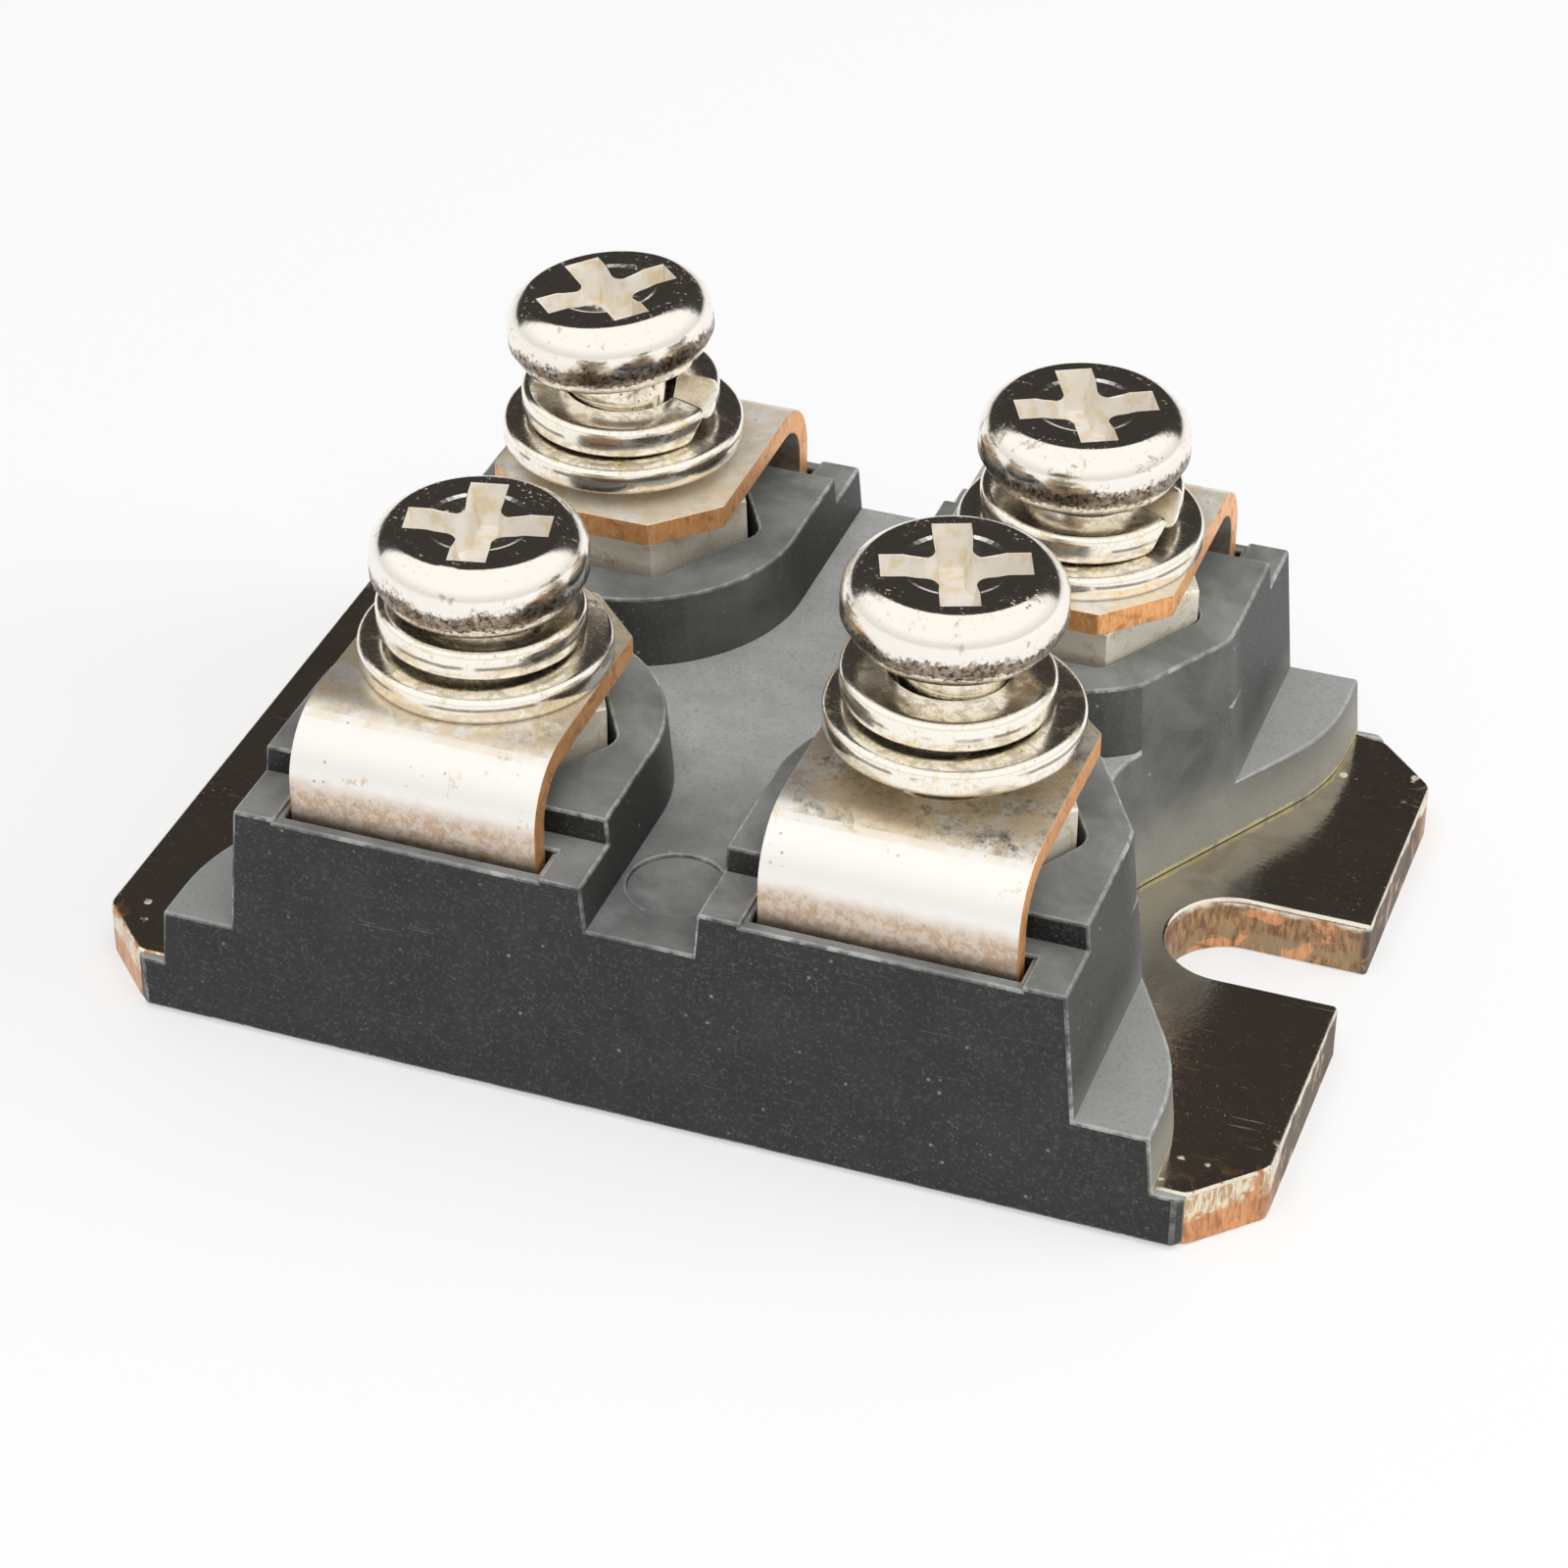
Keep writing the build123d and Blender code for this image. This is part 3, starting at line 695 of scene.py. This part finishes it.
def stand(bm, node):
    """Moves a ring built on the origin to the foot of a node's box."""
    low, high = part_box(node)
    middle = (low + high) / 2
    place = Matrix.Translation((middle.x, middle.y, low.z)) @ Matrix.Scale(MM, 4)
    bmesh.ops.transform(bm, matrix=place, verts=bm.verts)


def dress_flat_washer(corner):
    """Punched washer: rolled over round its upper rim, sharper below."""
    node = "flat_washer_" + corner
    bore, rim, top = WASHER_BORE, FLAT_WASHER_RIM, FLAT_WASHER_HEIGHT
    bm = turned([(bore, 0, 0), (rim, 0, 0), (rim, 0, top), (bore, 0, top)], 128)
    round_edges(bm, rims(bm, rim, top), 0.24, 5)
    round_edges(bm, rims(bm, rim, 0), 0.07)
    round_edges(bm, rims(bm, bore), 0.08)
    stand(bm, node)
    finished("flat_washer_ring_" + corner, bm, ["washer"], [node])


def dress_lock_washer(corner):
    """Split spring washer: a rounded section wound left handed, its ends cut on the slant."""
    node = "lock_washer_" + corner
    bore, rim, top, slant = WASHER_BORE, LOCK_WASHER_RIM, LOCK_WASHER_HEIGHT, 0.45
    gap = radians(22)
    turn = Matrix.Rotation(radians(SPLITS[corner] - 4), 3, "Z")
    section = []
    for radius, height, side in ((bore, 0, -1), (rim, 0, -1), (rim, top, 1), (bore, top, 1)):
        along = (radius ** 2 - slant ** 2) ** 0.5
        section.append(turn @ Vector((along, side * slant, height)))
    bm = turned(section, 112, gap - 2 * pi, LOCK_WASHER_CLIMB)
    outer = rims(bm, rim)
    inner = rims(bm, bore)
    round_edges(bm, outer, 0.27, 4)
    round_edges(bm, inner, 0.12)
    round_edges(bm, corners_of(bm, 50), 0.05)
    stand(bm, node)
    finished("lock_washer_coil_" + corner, bm, ["washer"], [node])


def dress_nut(corner):
    node = "nut_" + corner
    bm = solid_copy(node)
    round_edges(bm, corners_of(bm), 0.06 * MM)
    finished("nut_body_" + corner, bm, ["nut"], [node])


def thread(top, tip):
    """Mesh of a rolled thread between two heights, tapered at its tip and closed."""
    pitch, core, crest, steps = 0.7, 1.55, 1.95, 32
    point, taper = core - 0.1, 0.9
    turns = int((top - tip) / pitch) + 3
    low = tip - pitch
    bm = bmesh.new()
    verts = [bm.verts.new((r, 0, low + z)) for r, z in (
        (core, 0), (core, 0.05), (crest, 0.31), (crest, 0.39), (core, 0.65), (core, pitch))]
    edges = [bm.edges.new(pair) for pair in zip(verts, verts[1:])]
    bmesh.ops.spin(bm, geom=verts + edges, cent=(0, 0, 0), axis=(0, 0, 1),
                   dvec=(0, 0, pitch / steps), angle=2 * pi * turns, steps=steps * turns)
    bmesh.ops.remove_doubles(bm, verts=bm.verts, dist=1e-4)
    cut(bm, top, clear_outer=True)
    cut(bm, tip, clear_inner=True)
    for vert in bm.verts:
        most = point + (vert.co.z - tip) * taper
        if vert.co.xy.length > most:
            vert.co.xy *= most / vert.co.xy.length
    close(bm)
    bmesh.ops.recalc_face_normals(bm, faces=bm.faces)
    made = bpy.data.meshes.new("shank")
    bm.to_mesh(made)
    bm.free()
    return made


def keep_neck(bm):
    """Takes the plain shank off a screw and runs its neck a little into the new thread."""
    cut(bm, NECK_END + 0.01, clear_inner=True)
    close(bm)
    for vert in bm.verts:
        if vert.co.z < NECK_END + 0.02:
            vert.co.z -= 0.25


def mark_cross(bm):
    """Gives the walls and floor of the cross their own paint, but not the dish round it."""
    cross_reach, cross_floor, dish_floor = 2.4, 0.7, 1.88
    for face in bm.faces:
        middle = face.calc_center_median()
        if middle.xy.length < cross_reach and cross_floor < middle.z < HEAD_TOP - 0.01:
            if middle.z < dish_floor or face.normal.z < 0.8:
                face.material_index = 1


def step_dish(bm):
    """Makes the dish shallower, with a narrow steep step at its rim. Returns the step's edges."""
    rim = [e for e in bm.edges if len(e.link_faces) == 2 and e.verts[0].co.z > HEAD_TOP - 0.01
           and max(f.normal.z for f in e.link_faces) > 0.999
           and 0.84 < min(f.normal.z for f in e.link_faces) < 0.91]
    hard = {e for face in round_edges(bm, rim, 0.075, 1) for e in face.edges}
    dish_reach, dish_bottom, step = 1.7, 1.86, 0.037
    for vert in bm.verts:
        if vert.co.xy.length < dish_reach and dish_bottom < vert.co.z < HEAD_TOP:
            depth = HEAD_TOP - vert.co.z
            vert.co.z = HEAD_TOP - (1.27 * min(depth, step) + 0.29 * max(depth - step, 0.0))
    return hard


def dress_screw(corner):
    """Head and neck from the node, with eased rims and a satin cross, on a threaded shank."""
    node = "screw_" + corner
    x, y, lean, rise = SCREWS[corner]
    place = (Matrix.Scale(MM, 4) @ Matrix.Translation((x, y, NUT_MIDDLE))
             @ Matrix.Rotation(radians(-lean), 4, "Y") @ Matrix.Translation((0, 0, rise)))
    bm = solid_copy(node)
    bmesh.ops.transform(bm, matrix=place.inverted(), verts=bm.verts)
    keep_neck(bm)
    mark_cross(bm)
    round_edges(bm, corners_of(bm), 0.05)
    hard = step_dish(bm)
    shank = thread(NECK_END, SCREW_TIP)
    bm.from_mesh(shank)
    bpy.data.meshes.remove(shank)
    level = bm.verts.layers.float.new("rise")
    reach = bm.verts.layers.float.new("reach")
    for vert in bm.verts:
        vert[level] = vert.co.z
        vert[reach] = vert.co.xy.length
    bmesh.ops.transform(bm, matrix=place, verts=bm.verts)
    finished("screw_body_" + corner, bm, ["screw", "recess"], [node], hard)


dress_housing()
dress_plate()
for corner in CORNERS:
    dress_terminal(corner)
    dress_flat_washer(corner)
    dress_lock_washer(corner)
    dress_nut(corner)
    dress_screw(corner)

for node, look in (("substrate_back_foil", "foil"), ("substrate_ceramic", "ceramic"),
                   ("cathode_foil_left", "foil"), ("cathode_foil_right", "foil"),
                   ("anode_foil_left", "foil"), ("anode_foil_right", "foil"),
                   ("diode_chip_left", "chip"), ("diode_chip_right", "chip"),
                   ("bond_wires_left", "wire"), ("bond_wires_right", "wire"),
                   ("potting_gel", "gel")):
    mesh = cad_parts[node].data
    mesh.materials.clear()
    mesh.materials.append(finish[look])


# Floor, light and camera

def floor_paint(t):
    """Pale floor. To the camera and to metal half of its light is its own, so that it is white
    and keeps the module's shadow."""
    cloud = t.noise(40.0, 0.0)
    seen = (t.node("ShaderNodeLightPath", output="Is Camera Ray")
            + t.node("ShaderNodeLightPath", output="Is Glossy Ray")
            + t.node("ShaderNodeLightPath", output="Is Transmission Ray")).clip()
    lit = t.mix(cloud, (0.88, 0.88, 0.88), (0.91, 0.91, 0.91))
    return {"Base Color": t.mix(seen, lit, (0.45, 0.45, 0.45)),
            "Emission Color": t.mix(seen, (0.0, 0.0, 0.0), (0.52, 0.52, 0.52)),
            "Emission Strength": 1.0, "Roughness": 0.9}


bm = bmesh.new()
bmesh.ops.create_grid(bm, x_segments=1, y_segments=1, size=1.5)
mesh = bpy.data.meshes.new("floor")
bm.to_mesh(mesh)
bm.free()
finish["floor"] = material("floor_paint", floor_paint)
mesh.materials.append(finish["floor"])
floor = bpy.data.objects.new("floor", mesh)
bpy.context.scene.collection.objects.link(floor)


def surroundings():
    """Even light, white to the camera. Polished metal sees a white horizon, a white room in front
    of the module and a dim one behind it."""
    world = bpy.data.worlds.new("studio")
    bpy.context.scene.world = world
    t = Tree(world)
    way = t.node("ShaderNodeTexCoord", output="Generated")
    height = t.node("ShaderNodeSeparateXYZ", {}, {0: way}, "Z")
    front = t.node("ShaderNodeVectorMath", {"operation": "DOT_PRODUCT"}, {
        0: way, 1: TOWARDS_FRONT}, "Value").step(-0.54, -0.43)
    horizon = height.step(0.12, 0.03)
    room = t.mix(height.step(0.0, 0.55), ROOM_LOW, ROOM_HIGH)
    seen = t.mix(horizon.most(front), DIM_ROOM, room)
    mirror = t.node("ShaderNodeLightPath", output="Is Glossy Ray")
    direct = t.node("ShaderNodeLightPath", output="Is Camera Ray")
    colour = t.mix(mirror, EVEN_GREY, seen)
    colour = t.mix(direct, colour, WHITE)
    light = t.node("ShaderNodeBackground", {}, {"Color": colour, "Strength": 1.0})
    t.finish("ShaderNodeOutputWorld", light)


def softbox(name, where, size, power):
    """Square soft lamp aimed at the module. Polished metal doesn't show it."""
    lamp = bpy.data.lights.new(name, "AREA")
    lamp.shape = "SQUARE"
    lamp.size = size
    lamp.energy = power
    made = bpy.data.objects.new(name, lamp)
    made.visible_glossy = False
    made.location = where
    made.rotation_mode = "QUATERNION"
    made.rotation_quaternion = (-Vector(where)).to_track_quat("-Z", "Y")
    bpy.context.scene.collection.objects.link(made)


surroundings()
softbox("overhead", (0.055, -0.154, 0.473), 0.45, 1.5)
softbox("end_light", (0.42, 0.10, 0.20), 0.30, 0.9)

camera = bpy.data.objects.new("camera", bpy.data.cameras.new("camera"))
camera.data.lens = 101.13
camera.data.sensor_width = 36.0
camera.data.clip_start = 0.005
camera.data.clip_end = 10.0
camera.matrix_world = Matrix((
    (0.94086322, -0.20126458, 0.27252334, 0.03866799),
    (0.33874285, 0.54593376, -0.76629603, -0.10865656),
    (0.00544856, 0.81329509, 0.58182593, 0.08680133),
    (0.0, 0.0, 0.0, 1.0)))
bpy.context.scene.collection.objects.link(camera)
bpy.context.scene.camera = camera
bpy.context.scene.view_settings.view_transform = "Standard"
